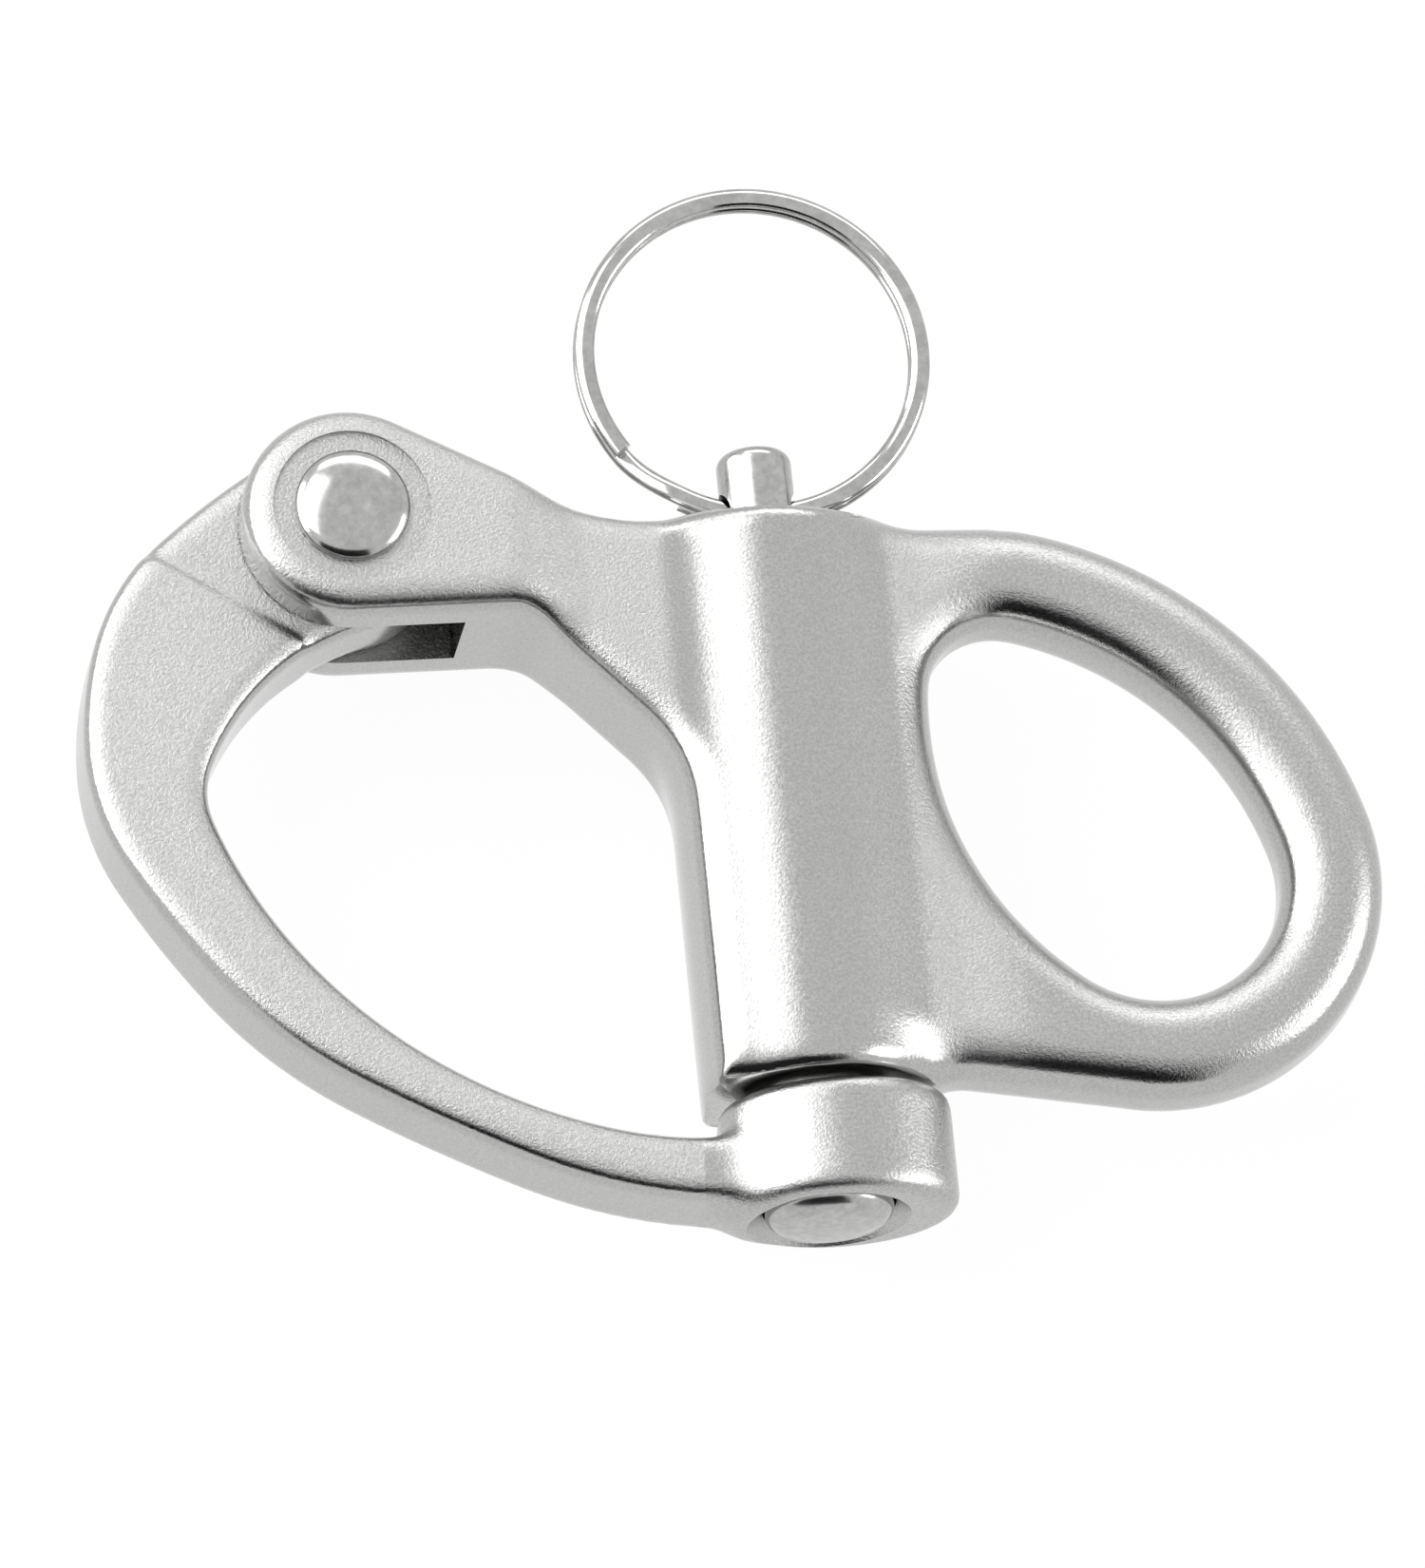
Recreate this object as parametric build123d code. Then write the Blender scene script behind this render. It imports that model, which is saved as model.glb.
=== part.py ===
from build123d import *
import math
import os

# Fixed-eye snap shackle in stainless steel, about 70 mm long, all sizes in millimetres.
#
# Frame: +X runs along the shackle from the gate's bow to the fixed eye, +Y runs along the plunger
# towards its pull ring, and +Z is up through the thickness, so the shackle lies flat. The shapes
# are drawn about the plunger's axis (x = 0, z = 0) and the barrel's latch end (y = 0). At the end
# everything is moved to the stored origin, the bottom centre of the box round all the pieces.

# ---- shackle body: barrel ----
BARREL_DIAMETER = 12.0
BARREL_LENGTH = 32.2
BARREL_CAP = 2.6            # wall left at the ring end, which guides the stem and holds the spring
BARREL_BOW_WALL = 5.8       # flat wall on the bow's side, measured from the plunger's axis
BARREL_EDGE = 0.8           # rounding of the barrel's two ends

# ---- shackle body: ears and neck ----
PIVOT_REACH = 23.0          # from the plunger's axis to the hinge axis, along the shackle
PIVOT_HEIGHT = 33.05        # from the latch end of the barrel to the hinge axis
EAR_RADIUS = 5.85
EAR_THICKNESS = 12.0        # over both ears
NECK_THICKNESS = 9.8
NECK_START = 8.6            # from the hinge axis to where the neck starts to thin
NECK_RAMP = 3.4             # length of the slope from the ears' faces down to the neck
NECK_DROP = 8.3             # height of the slanted stretch under the neck, on the bow's side
NECK_SLOPE = 28.7           # degrees, fall of the neck's back from the ears to the barrel
NECK_BACK_BLEND = 12.0
NECK_CORNER_BLEND = 3.0
BARREL_CORNER_BLEND = 8.0
BODY_EDGE = 1.0             # rounding of the casting's outline

# ---- shackle body: fixed eye ----
EYE_WIDTH = 18.3            # opening, along the shackle
EYE_HEIGHT = 21.9           # opening, along the plunger
EYE_TOP_RADIUS = 4.0        # the opening's narrow end, beside the ring end of the barrel
EYE_END_RADIUS = 6.9        # the opening's wide end
EYE_SIDE_RADIUS = 18.7      # the long arcs that join the two ends
EYE_WALL = 8.0              # from the plunger's axis to the opening
EYE_FOOT = 4.2              # from the latch end of the barrel to the opening
EYE_BAR = 5.6               # width of the bar round the opening
EYE_THICKNESS = 6.4
EYE_EDGE = 2.45             # rounding that makes the bar nearly round

# ---- gate ----
SLOT_CLEARANCE = 0.15       # each side of the tongue, between the ears
TONGUE_THICKNESS = 5.2
HUB_RADIUS = 5.6            # round end of the tongue about the hinge
HUB_CLEARANCE = 0.4         # hub to the floor of the slot
ARM_THICKNESS = 6.2
ARM_EDGE = 0.95
ARM_SHOULDER = 7.0          # from the hinge axis to the step where the arm gets its full thickness
SHOULDER_ANGLE = 56.2       # degrees, direction across the shoulder towards the hinge
BOW_REACH = 38.25           # from the plunger's axis to the outermost point of the bow
BOW_WIDTH = 6.6             # width of the arm at that point
ARM_TIP_WIDTH = 3.9         # width of the arm where it reaches the lock eye
LOCK_EYE_HEIGHT = 6.6
LOCK_EYE_WIDTH = 12.7
LOCK_EYE_THICKNESS = 10.8
LOCK_EYE_OFFSET = 0.75      # the lock eye stands this far past the plunger's axis
LOCK_EYE_EDGE = 0.9
LATCH_GAP = 0.4             # between the barrel's latch end and the lock eye
LOCK_HOLE_CLEARANCE = 0.15  # radial, plunger tip in the lock eye
LOCK_HOLE_CHAMFER = 0.75

# ---- hinge rivet ----
RIVET_DIAMETER = 4.0
RIVET_HEAD_DIAMETER = 6.3
RIVET_HEAD_HEIGHT = 1.35
RIVET_DIMPLE = 0.25
RIVET_EAR_CLEARANCE = 0.02   # radial, shank in the ears
RIVET_GATE_CLEARANCE = 0.05  # radial, shank in the tongue
SPOT_FACE_DIAMETER = 8.6
SPOT_FACE_DEPTH = 0.25

# ---- plunger ----
TIP_DIAMETER = 7.0
TIP_CLEARANCE = 0.06        # radial, tip in the barrel's bore
TIP_CHAMFER = 0.6
TIP_PROUD = 0.5             # how far the tip stands out below the lock eye
TIP_GUIDE = 13.5            # length of the tip that stays inside the barrel
STEM_DIAMETER = 4.1
STEM_CLEARANCE = 0.06       # radial, stem in the barrel's cap
STEM_PROUD = 4.9            # how far the stem stands out of the barrel
STEM_ROUNDING = 0.8
CROSS_HOLE_DIAMETER = 2.4
CROSS_HOLE_RISE = 1.4       # hole centre above the barrel's end

# ---- plunger spring ----
SPRING_DIAMETER = 6.4       # outside
SPRING_WIRE = 0.7
SPRING_TURNS = 9
SPRING_SEAT_GAP = 0.03      # each end

# ---- split ring ----
RING_DIAMETER = 19.5        # outside
RING_WIRE_WIDTH = 1.1
RING_WIRE_HEIGHT = 0.78
RING_COIL_GAP = 0.02
RING_WIRE_EDGE = 0.25
RING_JOGGLE_START = 214.0   # degrees round the ring from +X
RING_JOGGLE_SWEEP = 26.0
RING_SHIFT = 0.5            # the ring has slid this far along through its hole
RING_SAG = 0.1              # wire's middle below the hole's centre, where it is lowest

# ---- worked out from the sizes above ----
BARREL_RADIUS = BARREL_DIAMETER / 2
PIVOT = (-PIVOT_REACH, PIVOT_HEIGHT)
SLOT_WIDTH = TONGUE_THICKNESS + 2 * SLOT_CLEARANCE
SLOT_FLOOR = -PIVOT_REACH + HUB_RADIUS + HUB_CLEARANCE
LOCK_EYE_TOP = -LATCH_GAP
LOCK_EYE_BOTTOM = LOCK_EYE_TOP - LOCK_EYE_HEIGHT
TIP_RADIUS = TIP_DIAMETER / 2
BORE_RADIUS = TIP_RADIUS + TIP_CLEARANCE
LOCK_HOLE_RADIUS = TIP_RADIUS + LOCK_HOLE_CLEARANCE
BORE_END = BARREL_LENGTH - BARREL_CAP
TIP_END = LOCK_EYE_BOTTOM - TIP_PROUD
STEM_RADIUS = STEM_DIAMETER / 2
STEM_TOP = BARREL_LENGTH + STEM_PROUD
CROSS_HOLE_HEIGHT = BARREL_LENGTH + CROSS_HOLE_RISE
RING_MEAN_RADIUS = (RING_DIAMETER - RING_WIRE_WIDTH) / 2
COIL_OFFSET = (RING_WIRE_HEIGHT + RING_COIL_GAP) / 2


def across(x, y, z=0.0):
    """A plane on the point (x, y, z) whose normal runs along the plunger."""
    return Plane(origin=(x, y, z), x_dir=(1, 0, 0), z_dir=(0, 1, 0))


def rod(radius, y_low, y_high, x=0.0):
    """A round rod along the plunger's direction."""
    return extrude(across(x, y_low) * Circle(radius), amount=y_high - y_low)


def slab(outline, thickness):
    """A plate with the given outline, centred on the shackle's middle plane."""
    return extrude(Plane.XY.offset(-thickness / 2) * outline, amount=thickness)


def face_edges(shape, thickness):
    """The edges that lie in the two faces of a plate of that thickness."""
    upper = shape.edges().filter_by_position(Axis.Z, thickness / 2 - 0.01, thickness / 2 + 0.01)
    lower = shape.edges().filter_by_position(Axis.Z, -thickness / 2 - 0.01, -thickness / 2 + 0.01)
    return upper + lower


def polar(centre, radius, degrees):
    """The point at that distance and direction from a centre in the middle plane."""
    angle = math.radians(degrees)
    return (centre[0] + radius * math.cos(angle), centre[1] + radius * math.sin(angle))


def solid_of(shape):
    """The one solid that a step has made."""
    solids = shape.solids()
    assert len(solids) == 1, f"expected one solid, found {len(solids)}"
    return solids[0]


# ---- shackle body ----

def neck_outline():
    """Ears, neck and the barrel's bow side, seen from above."""
    back = polar(PIVOT, EAR_RADIUS, 90 - NECK_SLOPE)
    fall = math.tan(math.radians(NECK_SLOPE))
    back_corner = (back[0] + (back[1] - BARREL_LENGTH) / fall, BARREL_LENGTH)
    ear_foot = (PIVOT[0], PIVOT[1] - EAR_RADIUS)
    neck_corner = (PIVOT[0] + NECK_START + 0.9, ear_foot[1])
    barrel_corner = (-BARREL_BOW_WALL, neck_corner[1] - NECK_DROP)
    top = FilletPolyline(back, back_corner, (0, BARREL_LENGTH), radius=NECK_BACK_BLEND)
    side = Polyline((0, BARREL_LENGTH), (0, 0), (-BARREL_BOW_WALL, 0))
    front = FilletPolyline(
        (-BARREL_BOW_WALL, 0), barrel_corner, neck_corner, ear_foot,
        radius=[BARREL_CORNER_BLEND, NECK_CORNER_BLEND],
    )
    ear = ThreePointArc(ear_foot, polar(PIVOT, EAR_RADIUS, 180), back)
    return make_face(top.edges() + side.edges() + front.edges() + ear.edges())


def neck_plate():
    """Ears and neck: the outline above, thinned between the ears' pads and the barrel."""
    plate = slab(neck_outline(), EAR_THICKNESS)
    ramp = -PIVOT_REACH + NECK_START
    step = (EAR_THICKNESS - NECK_THICKNESS) / 2
    for side in (1, -1):
        pad = EAR_THICKNESS / 2
        wedge = make_face(Polyline(
            (ramp, pad), (ramp + NECK_RAMP, pad - step), (1, pad - step), (1, pad), close=True))
        cutter = extrude(across(0, BARREL_LENGTH + 10) * wedge, amount=-BARREL_LENGTH - 12)
        plate -= cutter if side == 1 else mirror(cutter, about=Plane.XY)
    rim = [edge for edge in plate.edges() if on_outline(edge)]
    return fillet(rim, BODY_EDGE)


def on_outline(edge):
    """True for the edges in the plate's faces, short of the barrel's middle."""
    middle = edge @ 0.5
    direction = edge % 0.5
    in_face = abs(middle.Z) > NECK_THICKNESS / 2 - 0.1 and abs(direction.Z) < 0.7
    return in_face and middle.X < -0.5


def egg_face(grow):
    """The fixed eye's egg shape, a small and a large round joined by two long arcs."""
    small = Vector(EYE_WALL + EYE_TOP_RADIUS + 0.1, EYE_FOOT + EYE_HEIGHT - EYE_TOP_RADIUS)
    large = Vector(EYE_WALL + EYE_WIDTH - EYE_END_RADIUS, EYE_FOOT + EYE_END_RADIUS)
    axis = (large - small).normalized()
    normal = Vector(-axis.Y, axis.X)
    spread = (large - small).length
    reach_small = EYE_SIDE_RADIUS - EYE_TOP_RADIUS
    reach_large = EYE_SIDE_RADIUS - EYE_END_RADIUS
    along = (reach_small ** 2 - reach_large ** 2 + spread ** 2) / (2 * spread)
    off = math.sqrt(reach_small ** 2 - along ** 2)
    touch = {}
    edges = []
    for side in (1, -1):
        centre = small + axis * along + normal * (side * off)
        radius = EYE_SIDE_RADIUS + grow
        touch[side] = [centre + (end - centre).normalized() * radius for end in (small, large)]
        outward = (touch[side][0] + touch[side][1]) / 2 - centre
        bulge = centre + outward.normalized() * radius
        edges.append(ThreePointArc(touch[side][0], bulge, touch[side][1]))
    for index, centre, radius in ((0, small, -EYE_TOP_RADIUS - grow), (1, large, EYE_END_RADIUS + grow)):
        edges.append(ThreePointArc(touch[1][index], centre + axis * radius, touch[-1][index]))
    return make_face(edges)


def fixed_eye():
    """The fixed eye: a nearly round bar about the opening, and the webs to the barrel's ends."""
    bar = slab(egg_face(EYE_BAR) - egg_face(0), EYE_THICKNESS)
    bar = fillet(face_edges(bar, EYE_THICKNESS), EYE_EDGE)
    crown = (EYE_WALL + EYE_TOP_RADIUS, EYE_FOOT + EYE_HEIGHT + EYE_BAR - 0.05)
    foot = polar((EYE_WALL + EYE_WIDTH - EYE_END_RADIUS, EYE_FOOT + EYE_END_RADIUS),
                 EYE_END_RADIUS + EYE_BAR - 0.05, -96)
    clear_of_gate = (LOCK_EYE_WIDTH / 2 + LOCK_EYE_OFFSET + 0.3, 0)
    web_face = make_face(Polyline(
        (0, 0), clear_of_gate, foot, (foot[0], EYE_FOOT + EYE_HEIGHT / 2), crown,
        (0, BARREL_LENGTH), close=True))
    web = slab(web_face - egg_face(EYE_BAR / 2), EYE_THICKNESS)
    rim = [edge for edge in face_edges(web, EYE_THICKNESS)
           if edge.geom_type == GeomType.LINE and abs((edge % 0.5).X) > 0.9]
    return bar + fillet(rim, EYE_EDGE)


def shackle_body():
    """The whole casting, with its machined bores, slot and rivet holes."""
    barrel = rod(BARREL_RADIUS, 0, BARREL_LENGTH)
    barrel = fillet(barrel.edges().filter_by(GeomType.CIRCLE), BARREL_EDGE)
    casting = neck_plate() + barrel + fixed_eye()
    casting -= rod(BORE_RADIUS, -5, BORE_END)
    casting -= rod(STEM_RADIUS + STEM_CLEARANCE, 0, BARREL_LENGTH + 5)
    slot_reach = 2 * EAR_RADIUS
    slot = Pos(SLOT_FLOOR - slot_reach, PIVOT_HEIGHT, 0) * Box(
        2 * slot_reach, 4 * EAR_RADIUS, SLOT_WIDTH)
    casting -= slot
    casting -= upright(RIVET_DIAMETER / 2 + RIVET_EAR_CLEARANCE, EAR_THICKNESS + 2)
    for side in (1, -1):
        recess = upright(SPOT_FACE_DIAMETER / 2, 2 * SPOT_FACE_DEPTH)
        casting -= Pos(0, 0, side * EAR_THICKNESS / 2) * recess
    return solid_of(casting)


def upright(radius, height):
    """A round rod on the hinge axis, centred on the middle plane."""
    return Pos(PIVOT[0], PIVOT[1], 0) * Cylinder(radius, height)


# ---- hinge rivet ----

def hinge_rivet():
    """A shank with two formed heads, each a low dome with a dimple, seated in the spot faces."""
    seat = EAR_THICKNESS / 2 - SPOT_FACE_DEPTH
    head_radius = RIVET_HEAD_DIAMETER / 2
    dome_radius = (head_radius ** 2 + RIVET_HEAD_HEIGHT ** 2) / (2 * RIVET_HEAD_HEIGHT)
    rivet = upright(RIVET_DIAMETER / 2, 2 * seat)
    for side in (1, -1):
        dome = Pos(0, 0, seat + RIVET_HEAD_HEIGHT - dome_radius) * Sphere(dome_radius)
        disc = Pos(0, 0, seat + RIVET_HEAD_HEIGHT / 2) * Cylinder(head_radius, RIVET_HEAD_HEIGHT)
        dimple_radius = head_radius
        dimple = Pos(0, 0, seat + RIVET_HEAD_HEIGHT - RIVET_DIMPLE + dimple_radius) * Sphere(
            dimple_radius)
        head = (dome & disc) - dimple
        if side == -1:
            head = mirror(head, about=Plane.XY)
        rivet += Pos(PIVOT[0], PIVOT[1], 0) * head
    return solid_of(rivet)


# ---- gate ----

def arc_chain(points, tangent):
    """A smooth chain of arcs through the points, leaving the first one along the tangent."""
    chain = []
    for start, end in zip(points, points[1:]):
        arc = TangentArc(start, end, tangent=tangent)
        tangent = arc % 1
        chain.append(arc)
    return chain


def arm_outline():
    """The arm seen from above: round hub, wide bow, and a narrow end inside the lock eye."""
    outer_shares = [(0.868, 0.995), (0.973, 0.817), (1.0, 0.650), (0.957, 0.436), (0.847, 0.239),
                    (0.656, 0.039), (0.426, -0.106)]
    inner_shares = [(0.910, 0.716), (0.992, 0.601), (0.998, 0.502), (0.891, 0.297),
                    (0.657, 0.073), (0.376, -0.055)]
    hub_back = polar(PIVOT, HUB_RADIUS, 118)
    hub_front = polar(PIVOT, HUB_RADIUS, -78)
    tip_low = (LOCK_EYE_OFFSET - LOCK_HOLE_RADIUS, LOCK_EYE_BOTTOM + 0.5)
    tip_high = (tip_low[0], tip_low[1] + ARM_TIP_WIDTH)
    inner_reach = BOW_REACH - BOW_WIDTH
    outer = [hub_back] + [(-u * BOW_REACH, v * PIVOT_HEIGHT) for u, v in outer_shares] + [tip_low]
    inner = [hub_front] + [(-u * inner_reach, v * PIVOT_HEIGHT) for u, v in inner_shares]
    inner = inner + [tip_high]
    sides = arc_chain(outer, (-0.883, -0.469)) + arc_chain(inner, (-0.978, -0.208))
    hub = ThreePointArc(hub_front, polar(PIVOT, HUB_RADIUS, 20), hub_back)
    return make_face(sides + [Line(tip_low, tip_high), hub])


def gate():
    """The jaw: tongue and arm, and the lock eye that the plunger's tip passes through."""
    arm = slab(arm_outline(), ARM_THICKNESS)
    arm = fillet(face_edges(arm, ARM_THICKNESS), ARM_EDGE)
    eye_section = Ellipse(LOCK_EYE_WIDTH / 2, LOCK_EYE_THICKNESS / 2)
    eye = extrude(across(LOCK_EYE_OFFSET, LOCK_EYE_BOTTOM) * eye_section, amount=LOCK_EYE_HEIGHT)
    ends = [edge for edge in eye.edges() if edge.geom_type == GeomType.ELLIPSE]
    jaw = arm + fillet(ends, LOCK_EYE_EDGE)
    jaw -= rod(LOCK_HOLE_RADIUS, LOCK_EYE_BOTTOM - 5, LOCK_EYE_TOP + 5)
    for mouth, inward in ((LOCK_EYE_BOTTOM, 1), (LOCK_EYE_TOP, -1)):
        wide = LOCK_HOLE_RADIUS + LOCK_HOLE_CHAMFER
        section = Plane(origin=(0, mouth, 0), x_dir=(1, 0, 0), z_dir=(0, inward, 0))
        cone = loft([section * Circle(wide),
                     section.offset(LOCK_HOLE_CHAMFER) * Circle(LOCK_HOLE_RADIUS)])
        jaw -= cone
    jaw -= upright(RIVET_DIAMETER / 2 + RIVET_GATE_CLEARANCE, ARM_THICKNESS + 2)
    waste_height = (ARM_THICKNESS - TONGUE_THICKNESS) / 2 + 1
    for side in (1, -1):
        waste = Pos(0, 0, side * (TONGUE_THICKNESS + waste_height) / 2) * tongue_side(waste_height)
        jaw -= waste
    return solid_of(jaw)


def tongue_side(height):
    """What is cut off beside the tongue: all that is nearer to the hinge than the shoulder."""
    reach = 4 * HUB_RADIUS
    block = Pos(reach / 2 - ARM_SHOULDER, 0, 0) * Box(reach, 2 * reach, height)
    return Pos(PIVOT[0], PIVOT[1], 0) * Rot(0, 0, SHOULDER_ANGLE) * block


# ---- plunger ----

def plunger():
    """Turned pin: thick tip, shoulder for the spring, and stem with the ring's cross hole."""
    tip = rod(TIP_RADIUS, TIP_END, TIP_GUIDE)
    tip = chamfer(tip.edges().filter_by(GeomType.CIRCLE).sort_by(Axis.Y)[0], TIP_CHAMFER)
    stem = rod(STEM_RADIUS, TIP_GUIDE, STEM_TOP)
    stem = fillet(stem.edges().filter_by(GeomType.CIRCLE).sort_by(Axis.Y)[-1], STEM_ROUNDING)
    hole = Pos(0, CROSS_HOLE_HEIGHT, 0) * Rot(0, 90, 0) * Cylinder(
        CROSS_HOLE_DIAMETER / 2, 2 * STEM_DIAMETER)
    return solid_of(tip + stem - hole)


# ---- plunger spring ----

def plunger_spring():
    """Compression spring with ground ends, between the tip's shoulder and the barrel's cap."""
    low = TIP_GUIDE + SPRING_SEAT_GAP
    high = BORE_END - SPRING_SEAT_GAP
    coil_radius = (SPRING_DIAMETER - SPRING_WIRE) / 2
    length = high - low
    path = Helix(pitch=length / SPRING_TURNS, height=length, radius=coil_radius)
    section = Plane(origin=path @ 0, z_dir=path % 0) * Circle(SPRING_WIRE / 2)
    coil = sweep(section, path=path, is_frenet=True)
    return solid_of((across(0, low) * coil) & rod(SPRING_DIAMETER, low, high))


# ---- split ring ----

def ring_section(degrees, height):
    """The wire's section at that angle round the ring and that height off the middle plane."""
    angle = math.radians(degrees)
    outward = (math.cos(angle), math.sin(angle), 0)
    along = (-math.sin(angle), math.cos(angle), 0)
    origin = (RING_MEAN_RADIUS * outward[0], RING_MEAN_RADIUS * outward[1], height)
    plane = Plane(origin=origin, x_dir=outward, z_dir=along)
    return plane * RectangleRounded(RING_WIRE_WIDTH, RING_WIRE_HEIGHT, RING_WIRE_EDGE)


def split_ring():
    """Two flat turns of one wire, joined by the joggle where it crosses from turn to turn."""
    start = RING_JOGGLE_START
    end = start + RING_JOGGLE_SWEEP
    turn = 360 - RING_JOGGLE_SWEEP
    lower = revolve(ring_section(end, -COIL_OFFSET), Axis.Z, revolution_arc=turn)
    upper = revolve(ring_section(end, COIL_OFFSET), Axis.Z, revolution_arc=turn)
    stations = 5
    sections = []
    for index in range(stations):
        share = index / (stations - 1)
        rise = (1 - math.cos(math.pi * share)) / 2
        sections.append(ring_section(start + RING_JOGGLE_SWEEP * share, COIL_OFFSET * (2 * rise - 1)))
    joggle = loft(sections)
    wire = lower + joggle + upper
    centre = (RING_SHIFT, CROSS_HOLE_HEIGHT + RING_MEAN_RADIUS - RING_SAG, 0)
    return solid_of(Pos(*centre) * wire)


PIECES = {
    "shackle_body": shackle_body,
    "hinge_rivet": hinge_rivet,
    "gate": gate,
    "plunger": plunger,
    "plunger_spring": plunger_spring,
    "split_ring": split_ring,
}

shapes = {name: make() for name, make in PIECES.items()}
boxes = [shape.bounding_box() for shape in shapes.values()]
middle_x = (min(box.min.X for box in boxes) + max(box.max.X for box in boxes)) / 2
middle_y = (min(box.min.Y for box in boxes) + max(box.max.Y for box in boxes)) / 2
bottom = min(box.min.Z for box in boxes)
os.makedirs("parts", exist_ok=True)
for name, shape in shapes.items():
    export_step(Pos(-middle_x, -middle_y, -bottom) * shape, f"parts/{name}.step")
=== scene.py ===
"""Snap shackle: its cast body, gate, rivet, plunger, spring and pull ring, and a studio stage."""

import math

import bmesh
import bpy
import numpy as np
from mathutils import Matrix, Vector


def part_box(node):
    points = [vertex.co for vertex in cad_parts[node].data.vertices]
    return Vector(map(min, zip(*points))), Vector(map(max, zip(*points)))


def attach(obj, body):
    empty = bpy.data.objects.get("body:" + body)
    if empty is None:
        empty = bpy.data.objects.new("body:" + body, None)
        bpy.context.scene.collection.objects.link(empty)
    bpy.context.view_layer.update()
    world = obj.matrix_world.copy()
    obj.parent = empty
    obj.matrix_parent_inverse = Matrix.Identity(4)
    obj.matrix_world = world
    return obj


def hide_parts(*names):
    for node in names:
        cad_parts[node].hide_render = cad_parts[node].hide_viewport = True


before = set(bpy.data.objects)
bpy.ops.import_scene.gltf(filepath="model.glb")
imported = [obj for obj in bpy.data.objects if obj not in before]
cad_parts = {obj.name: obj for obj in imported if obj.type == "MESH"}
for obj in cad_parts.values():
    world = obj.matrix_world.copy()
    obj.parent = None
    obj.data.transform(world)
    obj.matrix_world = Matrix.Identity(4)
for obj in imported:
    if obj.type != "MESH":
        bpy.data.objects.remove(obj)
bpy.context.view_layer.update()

import openvdb
from bpy.props import FloatProperty, FloatVectorProperty, IntProperty, PointerProperty
from bpy.types import Operator, Panel, PropertyGroup
from mathutils import Matrix, Vector

bl_info = {
    "name": "Snap Shackle",
    "version": (1, 0, 0),
    "blender": (4, 5, 0),
    "location": "View3D > Sidebar > Shackle",
    "description": "Builds a fixed-eye snap shackle and its studio stage",
    "category": "Add Mesh",
}

PLUNGER_LOW, PLUNGER_HIGH = (Vector(corner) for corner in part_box("plunger"))
RIVET_LOW, RIVET_HIGH = (Vector(corner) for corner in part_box("hinge_rivet"))
RING_LOW, RING_HIGH = (Vector(corner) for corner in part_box("split_ring"))
SPRING_LOW, SPRING_HIGH = (Vector(corner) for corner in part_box("plunger_spring"))
BODY_LOW, BODY_HIGH = (Vector(corner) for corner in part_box("shackle_body"))
GATE_LOW, GATE_HIGH = (Vector(corner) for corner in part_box("gate"))
MM = 0.001


# ---- sizes and colours a user would change ----

class ShackleBodySizes(PropertyGroup):
    """Sizes of the cast body."""
    barrel_radius: FloatProperty(name="Barrel radius", description="Outside radius of the plunger barrel",
                                 default=0.006, min=0.002, unit="LENGTH")
    barrel_length: FloatProperty(name="Barrel length", description="Latch end to ring end",
                                 default=0.0322, min=0.01, unit="LENGTH")
    ear_radius: FloatProperty(name="Ear radius", description="Round end of the two ears",
                              default=0.00585, min=0.002, unit="LENGTH")
    ear_half: FloatProperty(name="Half ear width", description="Half the width over both ears",
                            default=0.006, min=0.002, unit="LENGTH")
    neck_half: FloatProperty(name="Half neck width", description="Half the width of the neck",
                             default=0.0049, min=0.002, unit="LENGTH")
    slot_width: FloatProperty(name="Slot width", description="Gap between the two ears",
                              default=0.0055, min=0.001, unit="LENGTH")
    eye_bar: FloatProperty(name="Eye bar", description="Width of the bar round the fixed eye",
                           default=0.0056, min=0.002, unit="LENGTH")
    eye_half: FloatProperty(name="Half eye thickness", description="Half the thickness of the eye's bar",
                            default=0.0032, min=0.001, unit="LENGTH")
    spot_face: FloatProperty(name="Spot face", description="Diameter of the recess round the rivet head",
                             default=0.0086, min=0.002, unit="LENGTH")
    grain: FloatProperty(name="Modelling grain", description="Spacing of the grid the casting is shaped on",
                         default=0.00025, min=0.0001, unit="LENGTH")


class ShackleGateSizes(PropertyGroup):
    """Sizes of the gate."""
    arm_half: FloatProperty(name="Half arm thickness", description="Half the thickness of the bow arm",
                            default=0.0031, min=0.001, unit="LENGTH")
    tongue: FloatProperty(name="Tongue thickness", description="Thickness between the ears",
                          default=0.0052, min=0.001, unit="LENGTH")
    shoulder: FloatProperty(name="Shoulder", description="Hinge axis to the step beside the tongue",
                            default=0.007, min=0.002, unit="LENGTH")
    shoulder_angle: FloatProperty(name="Shoulder angle", description="Direction across the step",
                                  default=math.radians(56.2), subtype="ANGLE")
    eye_width: FloatProperty(name="Lock eye width", description="Width of the oval lock eye",
                             default=0.0127, min=0.004, unit="LENGTH")
    eye_thickness: FloatProperty(name="Lock eye thickness", description="Thickness of the oval lock eye",
                                 default=0.0108, min=0.004, unit="LENGTH")
    hole_radius: FloatProperty(name="Lock hole radius", description="Hole for the plunger's tip",
                               default=0.00365, min=0.001, unit="LENGTH")


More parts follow.
